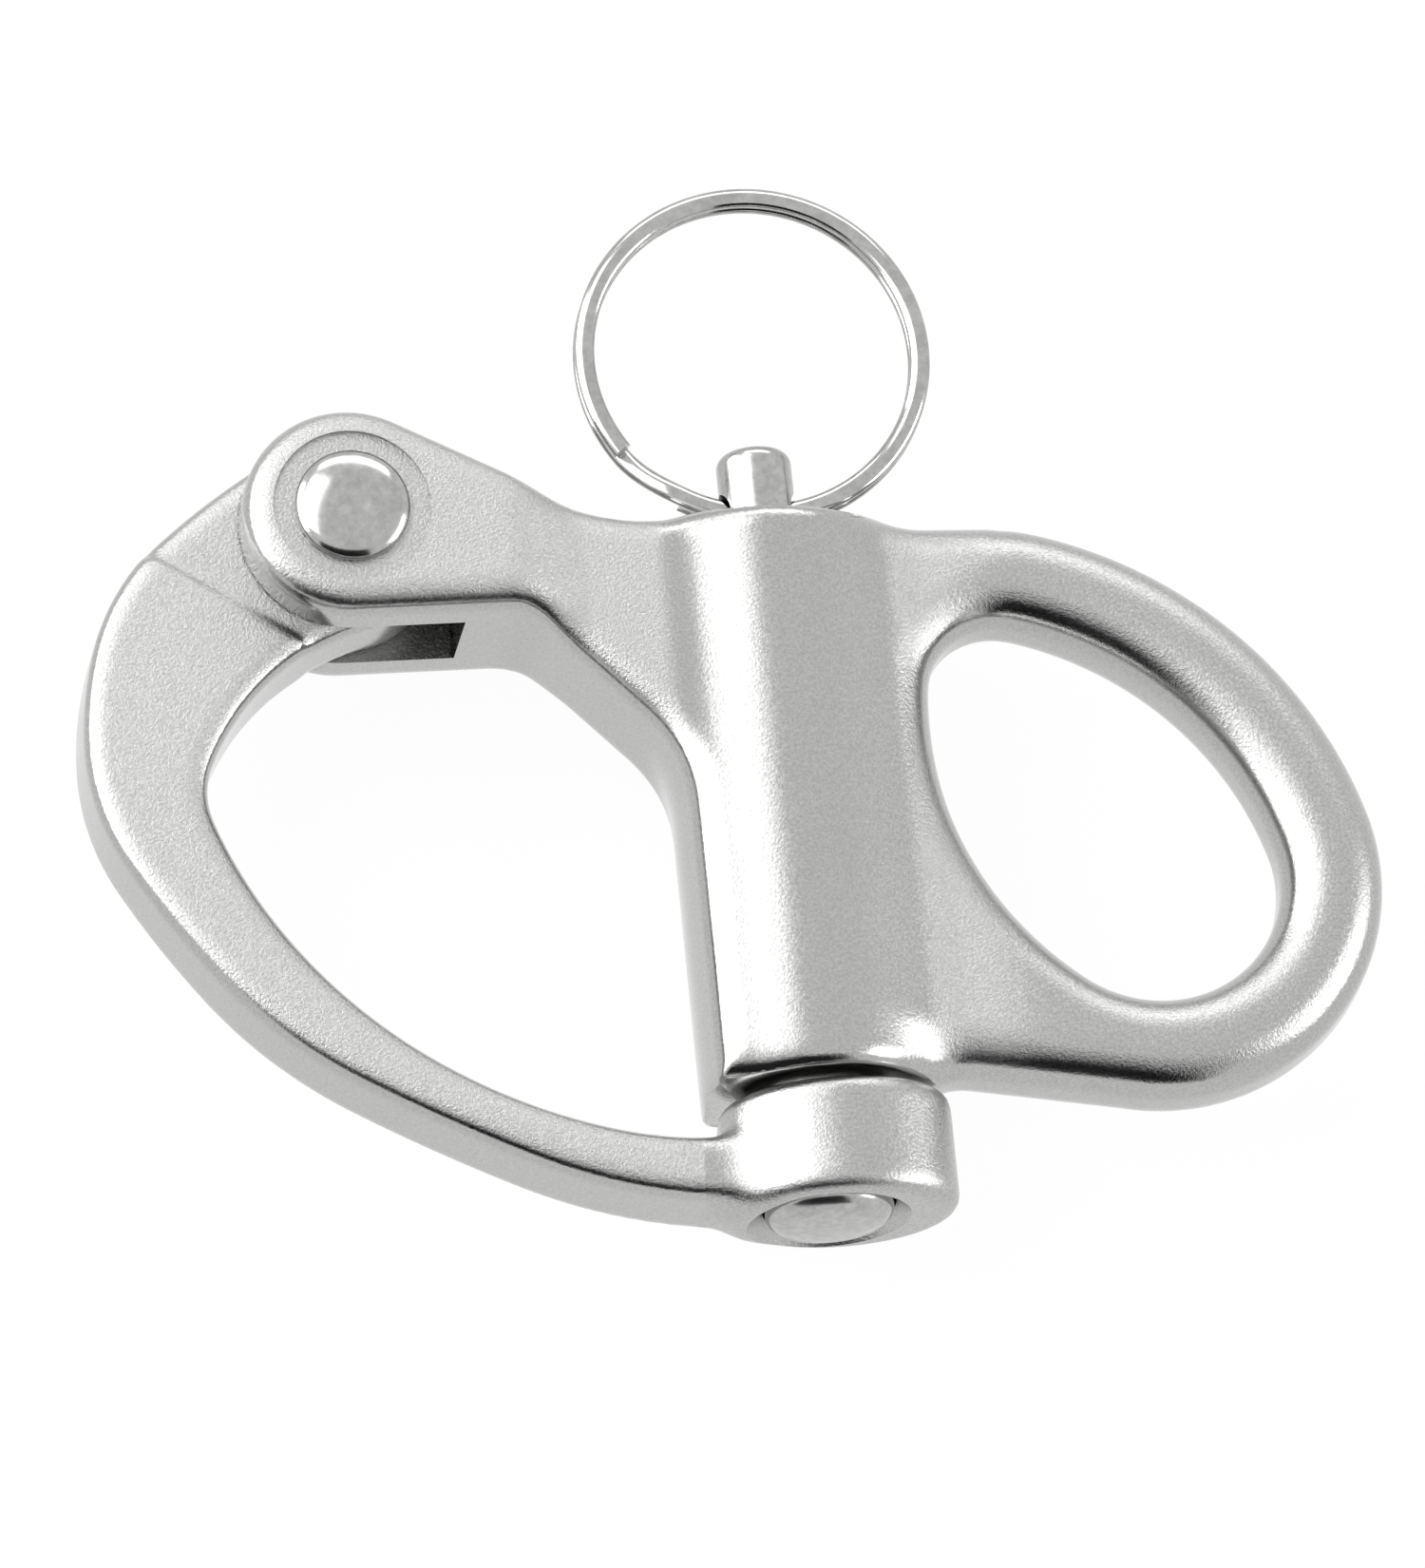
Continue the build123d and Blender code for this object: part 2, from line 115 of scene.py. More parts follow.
class ShacklePinSizes(PropertyGroup):
    """Sizes of the turned and wire pieces."""
    rivet_head: FloatProperty(name="Rivet head", description="Diameter of the rivet's heads",
                              default=0.0063, min=0.002, unit="LENGTH")
    tip_chamfer: FloatProperty(name="Tip chamfer", description="Chamfer at the end of the plunger's tip",
                               default=0.0006, min=0.0, unit="LENGTH")
    cross_hole: FloatProperty(name="Cross hole", description="Diameter of the hole for the pull ring",
                              default=0.0024, min=0.001, unit="LENGTH")
    spring_turns: IntProperty(name="Spring turns", description="Turns of the plunger's spring",
                              default=9, min=3)
    spring_wire: FloatProperty(name="Spring wire", description="Wire diameter of the spring",
                               default=0.0007, min=0.0002, unit="LENGTH")
    ring_wire: FloatProperty(name="Ring wire width", description="Width of the split ring's wire",
                             default=0.0011, min=0.0003, unit="LENGTH")
    ring_gap: FloatProperty(name="Ring coil gap", description="Gap between the split ring's two turns",
                            default=0.00002, min=0.0, unit="LENGTH")


class ShackleFinish(PropertyGroup):
    """Colours and finishes of the metal."""
    cast_colour: FloatVectorProperty(name="Cast steel", description="Colour of the cast stainless steel",
                                     subtype="COLOR", default=(0.44, 0.44, 0.435), min=0, max=1)
    wire_colour: FloatVectorProperty(name="Polished steel", description="Colour of the polished steel",
                                     subtype="COLOR", default=(0.43, 0.43, 0.425), min=0, max=1)
    satin: FloatProperty(name="Satin roughness", description="Roughness of the blasted flats",
                         subtype="FACTOR", default=0.30, min=0, max=1)
    polish: FloatProperty(name="Polished roughness", description="Roughness of the polished edges",
                          subtype="FACTOR", default=0.12, min=0, max=1)


# ---- distances the castings are shaped with, in millimetres, negative inside ----

def smooth_join(a, b, reach):
    """The union of two shapes with a concave blend of about that reach."""
    share = np.clip(0.5 + 0.5 * (b - a) / reach, 0, 1)
    return b + (a - b) * share - reach * share * (1 - share)


def rounded(a, b, edge):
    """What is inside both, with their common corner rounded."""
    u = a + edge
    v = b + edge
    return np.minimum(np.maximum(u, v), 0) + np.hypot(np.maximum(u, 0), np.maximum(v, 0)) - edge


def outline_distance(outline, x, y):
    """Signed distance from the points to a closed outline in the middle plane."""
    nearest = np.full(x.shape, 1e9)
    inside = np.zeros(x.shape, bool)
    for (ax, ay), (bx, by) in zip(outline, np.roll(outline, -1, axis=0)):
        ex, ey = bx - ax, by - ay
        share = np.clip(((x - ax) * ex + (y - ay) * ey) / (ex * ex + ey * ey), 0, 1)
        nearest = np.minimum(nearest, (x - ax - share * ex) ** 2 + (y - ay - share * ey) ** 2)
        if ay != by:
            crossing = (ay > y) != (by > y)
            inside ^= crossing & (x < ex * (y - ay) / ey + ax)
    return np.sqrt(nearest) * np.where(inside, -1, 1)


def polar(centre, radius, degrees):
    """The point at that distance and direction from a centre."""
    angle = math.radians(degrees)
    return np.array([centre[0] + radius * math.cos(angle), centre[1] + radius * math.sin(angle)])


def arc_points(centre, radius, start, end, steps=24):
    """Points on an arc, from one angle to another in degrees."""
    return [polar(centre, radius, angle) for angle in np.linspace(start, end, steps)]


def tangent_chain(points, tangent, step=0.5):
    """Points on a smooth chain of arcs through the given points, leaving the first along the tangent."""
    tangent = np.array(tangent) / np.hypot(*tangent)
    found = [np.array(points[0])]
    for start, end in zip(points, points[1:]):
        start, end = np.array(start), np.array(end)
        chord = end - start
        side = np.array([-tangent[1], tangent[0]])
        lean = chord @ side
        length = np.hypot(*chord)
        count = max(3, int(length / step))
        if abs(lean) < 1e-6:
            found += [start + chord * share for share in np.linspace(0, 1, count)[1:]]
            continue
        radius = length ** 2 / (2 * lean)
        centre = start + side * radius
        turn = 2 * math.atan2(lean, chord @ tangent)
        for share in np.linspace(0, 1, count)[1:]:
            angle = turn * share
            arm = start - centre
            found.append(centre + np.array([arm[0] * math.cos(angle) - arm[1] * math.sin(angle),
                                            arm[0] * math.sin(angle) + arm[1] * math.cos(angle)]))
        tangent = np.array([tangent[0] * math.cos(turn) - tangent[1] * math.sin(turn),
                            tangent[0] * math.sin(turn) + tangent[1] * math.cos(turn)])
    return found


def round_corners(corners, radii, steps=14):
    """An open run of straight lines with each inner corner rounded."""
    corners = [np.array(corner, float) for corner in corners]
    found = [corners[0]]
    for before, corner, after, radius in zip(corners, corners[1:], corners[2:], radii):
        to_back = (before - corner) / np.hypot(*(before - corner))
        to_front = (after - corner) / np.hypot(*(after - corner))
        half = math.acos(np.clip(to_back @ to_front, -1, 1)) / 2
        bisector = (to_back + to_front) / np.hypot(*(to_back + to_front))
        centre = corner + bisector * radius / math.sin(half)
        first = corner + to_back * radius / math.tan(half) - centre
        last = corner + to_front * radius / math.tan(half) - centre
        for share in np.linspace(0, 1, steps):
            blend = first * (1 - share) + last * share
            found.append(centre + blend / np.hypot(*blend) * radius)
    found.append(corners[-1])
    return found


# ---- where the drawing stands: the plunger's axis and the barrel's latch end ----

TIP_REACH = 7.5     # the plunger's tip stands this far past the barrel's latch end
EYE_LOW = -7.0      # the lock eye's two faces along the plunger
EYE_HIGH = -0.4
HUB_RADIUS = 5.6    # round end of the gate's tongue
RING_HOLE = 33.6    # centre of the plunger's cross hole
ORIGIN = Vector(((PLUNGER_LOW.x + PLUNGER_HIGH.x) / 2, PLUNGER_LOW.y + TIP_REACH * MM,
                 (PLUNGER_LOW.z + PLUNGER_HIGH.z) / 2))


def flat_middle(low, high):
    """The middle of a box, seen from above, in millimetres of the drawing."""
    return tuple(((a + b) / 2 - o) / MM for a, b, o in zip(low[:2], high[:2], ORIGIN))


PIVOT = flat_middle(RIVET_LOW, RIVET_HIGH)
RING_CENTRE = flat_middle(RING_LOW, RING_HIGH)


def neck_outline(barrel_length, ear_radius):
    """Ears, neck and the barrel's bow side, seen from above."""
    slope, bow_wall, drop, reach = 28.7, 5.8, 8.3, 9.5
    back_blend, wall_blend, corner_blend = 12, 8, 3
    back = polar(PIVOT, ear_radius, 90 - slope)
    corner = (back[0] + (back[1] - barrel_length) / math.tan(math.radians(slope)), barrel_length)
    foot = (PIVOT[0], PIVOT[1] - ear_radius)
    neck = (PIVOT[0] + reach, foot[1])
    top = round_corners([back, corner, (0, barrel_length)], [back_blend])
    front = round_corners([(-bow_wall, 0), (-bow_wall, neck[1] - drop), neck, foot],
                          [wall_blend, corner_blend])
    ear = arc_points(PIVOT, ear_radius, 270, 90 - slope, 60)
    return np.array(top + [(0, 0)] + front + ear[1:-1])


def arc_through(start, via, end, centre, steps=40):
    """Points on the arc about a centre from start to end, on the side where via lies."""
    first, middle, last = (math.atan2(*(np.array(p) - centre)[::-1]) for p in (start, via, end))
    full = 2 * math.pi
    sweep = (last - first) % full
    if (middle - first) % full > sweep:
        sweep -= full
    radius = np.hypot(*(start - centre))
    return [centre + radius * np.array([math.cos(first + sweep * s), math.sin(first + sweep * s)])
            for s in np.linspace(0, 1, steps)]


def egg_outline():
    """The fixed eye's opening: a small and a large round joined by two long arcs."""
    small, small_radius = np.array([12.1, 22.1]), 4.0
    large, large_radius = np.array([19.4, 11.1]), 6.9
    side_radius = 18.7
    spread = np.hypot(*(large - small))
    axis = (large - small) / spread
    normal = np.array([-axis[1], axis[0]])
    reach_small, reach_large = side_radius - small_radius, side_radius - large_radius
    along = (reach_small ** 2 - reach_large ** 2 + spread ** 2) / (2 * spread)
    off = math.sqrt(reach_small ** 2 - along ** 2)
    centres, touch = {}, {}
    for side in (1, -1):
        centre = small + axis * along + normal * (side * off)
        centres[side] = centre
        touch[side] = [centre + (end - centre) / np.hypot(*(end - centre)) * side_radius
                       for end in (small, large)]
    run = []
    for side, order in ((1, (0, 1)), (-1, (1, 0))):
        start, end = touch[side][order[0]], touch[side][order[1]]
        run += arc_through(start, (start + end) / 2, end, centres[side])
        if side == 1:
            run += arc_through(end, large + axis * large_radius, touch[-1][1], large)[1:-1]
        else:
            run += arc_through(end, small - axis * small_radius, touch[1][0], small)[1:-1]
    return np.array(run)


def gate_outline():
    """The gate's arm from above: hub, wide bow, and a narrow end inside the lock eye."""
    bow, reach, height = 38.25, 31.65, PIVOT[1]
    outer_shares = ((0.868, 0.995), (0.973, 0.817), (1.0, 0.650), (0.957, 0.436), (0.847, 0.239),
                    (0.656, 0.039), (0.426, -0.106))
    inner_shares = ((0.910, 0.716), (0.992, 0.601), (0.998, 0.502), (0.891, 0.297), (0.657, 0.073),
                    (0.376, -0.055))
    hub_back, hub_front = 118, -78
    back, front = polar(PIVOT, HUB_RADIUS, hub_back), polar(PIVOT, HUB_RADIUS, hub_front)
    outer = [back] + [(-u * bow, v * height) for u, v in outer_shares] + [(-2.9, -6.5)]
    inner = [front] + [(-u * reach, v * height) for u, v in inner_shares] + [(-2.9, -2.6)]
    hub = arc_points(PIVOT, HUB_RADIUS, hub_back, hub_front, 60)
    inner_run = tangent_chain(inner, (-0.978, -0.208))
    outer_run = tangent_chain(outer, (-0.883, -0.469))
    return np.array(inner_run + outer_run[::-1] + hub[1:-1])


# ---- from distances to meshes ----

def casting_mesh(name, low, high, distance, grain):
    """A smooth closed mesh of the shape whose distance function is given."""
    pad = 3 * grain
    axes = [np.arange(a - pad, b + pad + grain, grain) for a, b in zip(low, high)]
    field = distance(axes[0][:, None, None], axes[1][None, :, None], axes[2][None, None, :])
    field = np.broadcast_to(field, [len(axis) for axis in axes]).astype(np.float32)
    grid = openvdb.FloatGrid(background=float(4 * grain))
    grid.copyFromArray(np.clip(field, -4 * grain, 4 * grain))
    points, quads = grid.convertToQuads()
    points = points * grain + np.array([axis[0] for axis in axes])
    mesh = bpy.data.meshes.new(name)
    mesh.from_pydata((points * MM + np.array(ORIGIN)).tolist(), [], quads[:, ::-1].tolist())
    mesh.update()
    piece = bpy.data.objects.new(name, mesh)
    bpy.context.scene.collection.objects.link(piece)
    shape = bmesh.new()
    shape.from_mesh(mesh)
    for _ in range(3):
        bmesh.ops.smooth_vert(shape, verts=shape.verts, factor=0.5, use_axis_x=True, use_axis_y=True,
                              use_axis_z=True)
    bmesh.ops.recalc_face_normals(shape, faces=shape.faces)
    shape.to_mesh(mesh)
    shape.free()
    return piece


def lathe(name, profile, place, turn="Z", steps=96):
    """A turned piece: the profile of (radius, height) in millimetres spun about its axis."""
    shape = bmesh.new()
    rings = []
    for radius, height in profile:
        if radius < 1e-6:
            rings.append([shape.verts.new((0, 0, height * MM))])
            continue
        reach = radius * MM
        rings.append([shape.verts.new((reach * math.cos(angle), reach * math.sin(angle), height * MM))
                      for angle in np.linspace(0, 2 * math.pi, steps, endpoint=False)])
    for lower, upper in zip(rings, rings[1:]):
        for i in range(steps):
            j = (i + 1) % steps
            if len(lower) == 1:
                shape.faces.new((lower[0], upper[i], upper[j]))
            elif len(upper) == 1:
                shape.faces.new((lower[i], upper[0], lower[j]))
            else:
                shape.faces.new((lower[i], lower[j], upper[j], upper[i]))
    for vertex in shape.verts:
        x, y, z = vertex.co
        if turn == "Y":
            vertex.co = (x, z, -y)
        elif turn == "X":
            vertex.co = (z, y, -x)
        vertex.co += Vector(place)
    bmesh.ops.recalc_face_normals(shape, faces=shape.faces)
    mesh = bpy.data.meshes.new(name)
    shape.to_mesh(mesh)
    shape.free()
    piece = bpy.data.objects.new(name, mesh)
    bpy.context.scene.collection.objects.link(piece)
    return piece


def rod_cutter(radius, low, high, place, turn):
    """A round cutter from one height to another along its axis."""
    return lathe("cutter", [(0, low), (radius, low), (radius, high), (0, high)], place, turn)


def block_cutter(size, centre):
    """A box cutter, from its size and centre in millimetres of the drawing."""
    shape = bmesh.new()
    bmesh.ops.create_cube(shape, size=1)
    for vertex in shape.verts:
        vertex.co = Vector(c + v * s for c, v, s in zip(centre, vertex.co, size)) * MM + ORIGIN
    mesh = bpy.data.meshes.new("cutter")
    shape.to_mesh(mesh)
    shape.free()
    cutter = bpy.data.objects.new("cutter", mesh)
    bpy.context.scene.collection.objects.link(cutter)
    return cutter


def cut_away(piece, cutters):
    """Machines the cutters' shapes out of the piece and bakes the result into its mesh."""
    for cutter in cutters:
        step = piece.modifiers.new("machining", "BOOLEAN")
        step.operation = "DIFFERENCE"
        step.solver = "MANIFOLD"
        step.object = cutter
    settle(piece)
    for cutter in cutters:
        mesh = cutter.data
        bpy.data.objects.remove(cutter)
        bpy.data.meshes.remove(mesh)


def settle(piece):
    """Turns the modifiers' result into the piece's own plain mesh."""
    bpy.context.view_layer.update()
    final = bpy.data.meshes.new_from_object(piece.evaluated_get(bpy.context.evaluated_depsgraph_get()))
    piece.modifiers.clear()
    old = piece.data
    piece.data = final
    bpy.data.meshes.remove(old)


def smooth_shaded(piece, degrees=38):
    """Smooth shading with crisp machined edges."""
    mesh = piece.data
    mesh.polygons.foreach_set("use_smooth", [True] * len(mesh.polygons))
    mesh.set_sharp_from_angle(angle=math.radians(degrees))
    mesh.update()


def mark_polish(piece, share):
    """Stores on each vertex how far it is polished, from 0 on the blasted flats to 1."""
    layer = piece.data.attributes.new("polish", "FLOAT", "POINT")
    layer.data.foreach_set("value", np.clip(share, 0, 1).astype(np.float32))


def vertex_arrays(mesh):
    """The mesh's points in millimetres of the drawing, and their normals."""
    points = np.empty(len(mesh.vertices) * 3, np.float32)
    normals = np.empty(len(mesh.vertices) * 3, np.float32)
    mesh.vertices.foreach_get("co", points)
    mesh.vertex_normals.foreach_get("vector", normals)
    return (points.reshape(-1, 3) - np.array(ORIGIN)) / MM, normals.reshape(-1, 3)


def ramp(value, low, high):
    """0 below low, 1 above high, smooth between."""
    t = np.clip((value - low) / (high - low), 0, 1)
    return t * t * (3 - 2 * t)


# ---- finishes ----

CAST_GRAIN = 6300               # noise cells in a metre, on the castings
CAST_GRAIN_HEIGHT = 0.07 * MM


def metal(name, colour, satin, polish, grain_scale, grain_height, masked):
    """Stainless steel: polished all over, or where masked, blasted where the polish attribute is 0."""
    material = bpy.data.materials.new(name)
    material.use_nodes = True
    nodes, links = material.node_tree.nodes, material.node_tree.links
    nodes.clear()
    output = nodes.new("ShaderNodeOutputMaterial")
    shader = nodes.new("ShaderNodeBsdfPrincipled")
    shader.inputs["Metallic"].default_value = 1.0
    links.new(shader.outputs["BSDF"], output.inputs["Surface"])
    place = nodes.new("ShaderNodeTexCoord")

    fine = nodes.new("ShaderNodeTexNoise")
    fine.inputs["Scale"].default_value = grain_scale
    fine.inputs["Detail"].default_value = 3.0
    fine.inputs["Roughness"].default_value = 0.7
    links.new(place.outputs["Object"], fine.inputs["Vector"])
    broad = nodes.new("ShaderNodeTexNoise")
    broad.inputs["Scale"].default_value = 160.0
    broad.inputs["Detail"].default_value = 4.0
    links.new(place.outputs["Object"], broad.inputs["Vector"])

    tone = nodes.new("ShaderNodeMapRange")
    tone.inputs["From Min"].default_value = 0.35
    tone.inputs["From Max"].default_value = 0.65
    tone.inputs["To Min"].default_value = 0.86
    tone.inputs["To Max"].default_value = 1.10
    links.new(fine.outputs["Fac"], tone.inputs["Value"])
    tint = nodes.new("ShaderNodeVectorMath")
    tint.operation = "SCALE"
    tint.inputs[0].default_value = tuple(colour)
    links.new(tone.outputs["Result"], tint.inputs["Scale"])
    links.new(tint.outputs["Vector"], shader.inputs["Base Color"])

    drift = nodes.new("ShaderNodeMapRange")
    drift.inputs["From Min"].default_value = 0.3
    drift.inputs["From Max"].default_value = 0.7
    drift.inputs["To Min"].default_value = -0.03
    drift.inputs["To Max"].default_value = 0.05
    links.new(broad.outputs["Fac"], drift.inputs["Value"])
    rough = nodes.new("ShaderNodeMath")
    rough.operation = "ADD"
    rough.use_clamp = True
    rough.inputs[0].default_value = polish
    links.new(drift.outputs["Result"], rough.inputs[1])
    links.new(rough.outputs[0], shader.inputs["Roughness"])

    bump = nodes.new("ShaderNodeBump")
    bump.inputs["Distance"].default_value = grain_height
    bump.inputs["Strength"].default_value = 0.12
    if masked:
        mask = nodes.new("ShaderNodeAttribute")
        mask.attribute_name = "polish"
        level = nodes.new("ShaderNodeMapRange")
        level.inputs["To Min"].default_value = satin
        level.inputs["To Max"].default_value = polish
        links.new(mask.outputs["Fac"], level.inputs["Value"])
        links.new(level.outputs["Result"], rough.inputs[0])
        strength = nodes.new("ShaderNodeMapRange")
        strength.inputs["To Min"].default_value = 1.0
        strength.inputs["To Max"].default_value = 0.12
        links.new(mask.outputs["Fac"], strength.inputs["Value"])
        links.new(strength.outputs["Result"], bump.inputs["Strength"])
    links.new(fine.outputs["Fac"], bump.inputs["Height"])
    links.new(bump.outputs["Normal"], shader.inputs["Normal"])
    return material


def give(piece, material):
    """Puts the one material on the piece."""
    piece.data.materials.clear()
    piece.data.materials.append(material)


# ---- wire pieces, swept along a path by Geometry Nodes ----

def wire_tree(name):
    """A wire swept round an axis: angle, radius, rise and its joggle are named inputs."""
    tree = bpy.data.node_groups.new(name, "GeometryNodeTree")
    tree.interface.new_socket("Geometry", in_out="INPUT", socket_type="NodeSocketGeometry")
    for label, default in (("Path Radius", 0.01), ("Start Angle", 0.0), ("Sweep", 12.0), ("Rise Low", 0.0),
                           ("Rise High", 0.01), ("Rise From", 0.0), ("Rise To", 1.0), ("Wire Width", 0.001),
                           ("Wire Height", 0.001)):
        socket = tree.interface.new_socket(label, in_out="INPUT", socket_type="NodeSocketFloat")
        socket.default_value = default
    tree.interface.new_socket("Steps", in_out="INPUT", socket_type="NodeSocketInt").default_value = 200
    tree.interface.new_socket("Rim Steps", in_out="INPUT", socket_type="NodeSocketInt").default_value = 16
    tree.interface.new_socket("Finish", in_out="INPUT", socket_type="NodeSocketMaterial")
    tree.interface.new_socket("Geometry", in_out="OUTPUT", socket_type="NodeSocketGeometry")
    nodes, links = tree.nodes, tree.links
    given, result = nodes.new("NodeGroupInput"), nodes.new("NodeGroupOutput")

    def math_node(operation, first, second=None):
        node = nodes.new("ShaderNodeMath")
        node.operation = operation
        for index, source in enumerate((first, second)):
            if source is not None:
                links.new(source, node.inputs[index])
        return node.outputs[0]

    line = nodes.new("GeometryNodeCurvePrimitiveLine")
    line.inputs["End"].default_value = (1, 0, 0)
    finer = nodes.new("GeometryNodeResampleCurve")
    links.new(line.outputs["Curve"], finer.inputs["Curve"])
    links.new(given.outputs["Steps"], finer.inputs["Count"])
    along = nodes.new("GeometryNodeSplineParameter").outputs["Factor"]
    turned = math_node("MULTIPLY", along, given.outputs["Sweep"])
    angle = math_node("ADD", turned, given.outputs["Start Angle"])
    rise = nodes.new("ShaderNodeMapRange")
    rise.interpolation_type = "SMOOTHSTEP"
    links.new(along, rise.inputs["Value"])
    for label, source in (("From Min", "Rise From"), ("From Max", "Rise To"), ("To Min", "Rise Low"),
                          ("To Max", "Rise High")):
        links.new(given.outputs[source], rise.inputs[label])
    point = nodes.new("ShaderNodeCombineXYZ")
    for operation, label in (("COSINE", "X"), ("SINE", "Y")):
        share = math_node(operation, angle)
        links.new(math_node("MULTIPLY", share, given.outputs["Path Radius"]), point.inputs[label])
    links.new(rise.outputs["Result"], point.inputs["Z"])
    bend = nodes.new("GeometryNodeSetPosition")
    links.new(finer.outputs["Curve"], bend.inputs["Geometry"])
    links.new(point.outputs["Vector"], bend.inputs["Position"])
    upright = nodes.new("GeometryNodeSetCurveNormal")
    upright.mode = "Z_UP"
    links.new(bend.outputs["Geometry"], upright.inputs["Curve"])
    rim = nodes.new("GeometryNodeCurvePrimitiveCircle")
    rim.inputs["Radius"].default_value = 0.5
    links.new(given.outputs["Rim Steps"], rim.inputs["Resolution"])
    size = nodes.new("ShaderNodeCombineXYZ")
    links.new(given.outputs["Wire Width"], size.inputs["X"])
    links.new(given.outputs["Wire Height"], size.inputs["Y"])
    size.inputs["Z"].default_value = 1
    oval = nodes.new("GeometryNodeTransform")
    links.new(rim.outputs["Curve"], oval.inputs["Geometry"])
    links.new(size.outputs["Vector"], oval.inputs["Scale"])
    sweep = nodes.new("GeometryNodeCurveToMesh")
    sweep.inputs["Fill Caps"].default_value = True
    links.new(upright.outputs["Curve"], sweep.inputs["Curve"])
    links.new(oval.outputs["Geometry"], sweep.inputs["Profile Curve"])
    real = nodes.new("GeometryNodeRealizeInstances")
    links.new(sweep.outputs["Mesh"], real.inputs["Geometry"])
    finish = nodes.new("GeometryNodeSetMaterial")
    links.new(real.outputs["Geometry"], finish.inputs["Geometry"])
    links.new(given.outputs["Finish"], finish.inputs["Material"])
    links.new(finish.outputs["Geometry"], result.inputs["Geometry"])
    return tree


def swept_wire(name, values, material):
    """A piece made by the wire tree with those input values, as a plain mesh."""
    mesh = bpy.data.meshes.new(name)
    piece = bpy.data.objects.new(name, mesh)
    bpy.context.scene.collection.objects.link(piece)
    tree = bpy.data.node_groups.get("Shackle Wire") or wire_tree("Shackle Wire")
    step = piece.modifiers.new("wire", "NODES")
    step.node_group = tree
    sockets = {item.name: item.identifier for item in tree.interface.items_tree if item.in_out == "INPUT"}
    for label, value in values.items():
        step[sockets[label]] = value
    step[sockets["Finish"]] = material
    settle(piece)
    return piece


def move_points(piece, place, turn):
    """Places the points of a wire piece in the drawing: about Z as made, or about Y."""
    mesh = piece.data
    shape = bmesh.new()
    shape.from_mesh(mesh)
    bmesh.ops.remove_doubles(shape, verts=shape.verts, dist=1e-7)
    for vertex in shape.verts:
        x, y, z = vertex.co
        vertex.co = Vector((x, z, -y) if turn == "Y" else (x, y, z)) + Vector(place)
    bmesh.ops.recalc_face_normals(shape, faces=shape.faces)
    shape.to_mesh(mesh)
    shape.free()


# ---- operators, one for each piece ----

class SHACKLE_OT_body(Operator):
    """Make the cast body: ears, neck, barrel and fixed eye, with its machined holes"""
    bl_idname = "shackle.body"
    bl_label = "Cast Body"

    def execute(self, context):
        sizes, finish = context.scene.shackle_body, context.scene.shackle_finish
        radius, length = sizes.barrel_radius / MM, sizes.barrel_length / MM
        ear, neck = sizes.ear_half / MM, sizes.neck_half / MM
        bar, eye_half = sizes.eye_bar / MM, sizes.eye_half / MM
        plate_rim = neck_outline(length, sizes.ear_radius / MM)
        egg = egg_outline()
        web_rim = np.array([(0, 1.8), (7.4, 0.5), (17.85, -1.3), (18.0, 15), (12.6, 31.75),
                            (7.5, length - 0.25), (0, length - 0.5)])
        ear_edge, barrel_edge, eye_edge = 1.5, 0.9, 2.55
        web_blend, neck_blend = 2.8, 1.5
        thin_from, thin_to = PIVOT[0] + 8.4, PIVOT[0] + 12.6

        def distance(x, y, z):
            flat_x, flat_y = np.broadcast_arrays(x, y)
            plate2 = outline_distance(plate_rim, flat_x, flat_y)
            egg2 = outline_distance(egg, flat_x, flat_y)
            outer2 = np.minimum(outline_distance(web_rim, flat_x, flat_y), egg2 - bar)
            half = ear + (neck - ear) * ramp(x, thin_from, thin_to)
            plate = rounded(plate2, np.abs(z) - half, ear_edge)
            barrel = rounded(np.hypot(x, z) - radius, np.abs(y - length / 2) - length / 2, barrel_edge)
            eye = rounded(np.maximum(outer2, -egg2), np.abs(z) - eye_half, eye_edge)
            side = smooth_join(barrel, eye, web_blend)
            return smooth_join(side, plate, neck_blend)

        low = ((BODY_LOW - ORIGIN) / MM)[:]
        high = ((BODY_HIGH - ORIGIN) / MM)[:]
        piece = casting_mesh("cast_body", low, high, distance, sizes.grain / MM)
        pivot = ORIGIN + Vector((*PIVOT, 0)) * MM
        bore, bore_end, stem_bore, rivet_bore = 3.56, 29.6, 2.11, 2.02
        slot_floor, slot_block = -17, 24
        recess_radius, recess_depth = sizes.spot_face / MM / 2, 0.25
        cutters = [
            rod_cutter(bore, -5, bore_end, ORIGIN, "Y"),
            rod_cutter(stem_bore, 20, 45, ORIGIN, "Y"),
            block_cutter((slot_block, slot_block, sizes.slot_width / MM),
                         (slot_floor - slot_block / 2, PIVOT[1], 0)),
            block_cutter((14.4, 6, 20), (0, -3, 0)),
            rod_cutter(rivet_bore, -12, 12, pivot, "Z"),
            rod_cutter(recess_radius, ear - recess_depth, ear + 5, pivot, "Z"),
            rod_cutter(recess_radius, -ear - 5, -ear + recess_depth, pivot, "Z"),
        ]
        cut_away(piece, cutters)
        smooth_shaded(piece)
        points, normals = vertex_arrays(piece.data)
        flat = ramp(np.abs(normals[:, 2]), 0.55, 0.9)
        on_eye = ramp(points[:, 0], 9, 13)
        recess = np.hypot(points[:, 0] - PIVOT[0], points[:, 1] - PIVOT[1]) < recess_radius + 0.05
        barrel = 1 - ramp(np.abs(points[:, 0]), radius - 0.5, radius + 1.0)
        keep = np.maximum(0.8 * barrel, 0.5 * on_eye)
        mark_polish(piece, np.where(recess, 0.2, 1 - flat * (1 - keep)))
        give(piece, metal("Cast steel, body", finish.cast_colour, finish.satin, finish.polish,
                          CAST_GRAIN, CAST_GRAIN_HEIGHT, True))
        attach(piece, "shackle")
        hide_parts("shackle_body")
        return {"FINISHED"}


